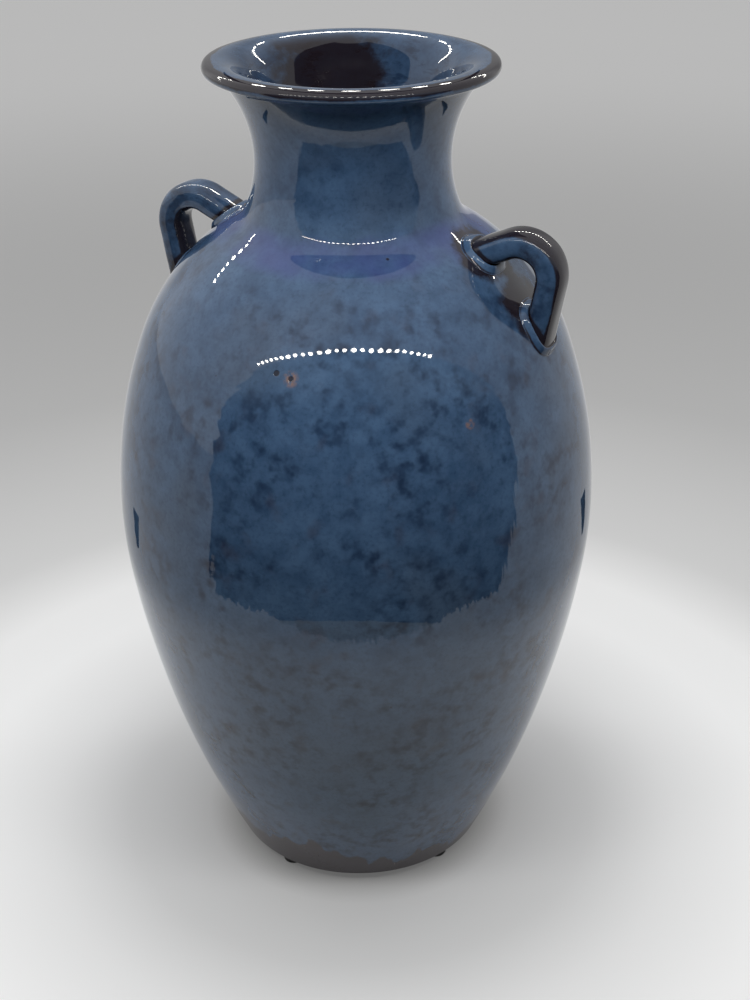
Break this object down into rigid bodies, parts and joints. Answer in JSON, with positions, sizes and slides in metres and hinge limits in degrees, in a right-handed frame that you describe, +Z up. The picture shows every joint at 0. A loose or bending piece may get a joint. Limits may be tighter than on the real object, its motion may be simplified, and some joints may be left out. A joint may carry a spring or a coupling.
{
  "type": "amphora",
  "caption": "Two-handled stoneware amphora with a swelling belly, narrow waisted neck, rolled flared lip and small strap handles, glazed in and out, standing on rubber bumpers.",
  "frame": {"origin": "on the table, on the axis of the pot, level with the undersides of the bumpers", "axes": "+Z up along the axis of the pot; -Y is the side seen from in front; the handles stand at 27.1 degrees to the X axis"},
  "size_m": [0.2024, 0.2024, 0.3561],
  "materials": {
    "stoneware_clay": "matte",
    "blue_glaze": "gloss",
    "liner_glaze": "gloss",
    "bumper_rubber": "satin",
    "adhesive_film": "satin"
  },
  "bodies": {
    "root": {"body": "stoneware_clay", "neck": "stoneware_clay", "handle_left": "stoneware_clay", "handle_right": "stoneware_clay", "handle_coils": "stoneware_clay", "glaze_outer": "blue_glaze", "glaze_liner": "liner_glaze", "foot_pads": "bumper_rubber", "pad_adhesive": "adhesive_film"}
  },
  "joints": []
}
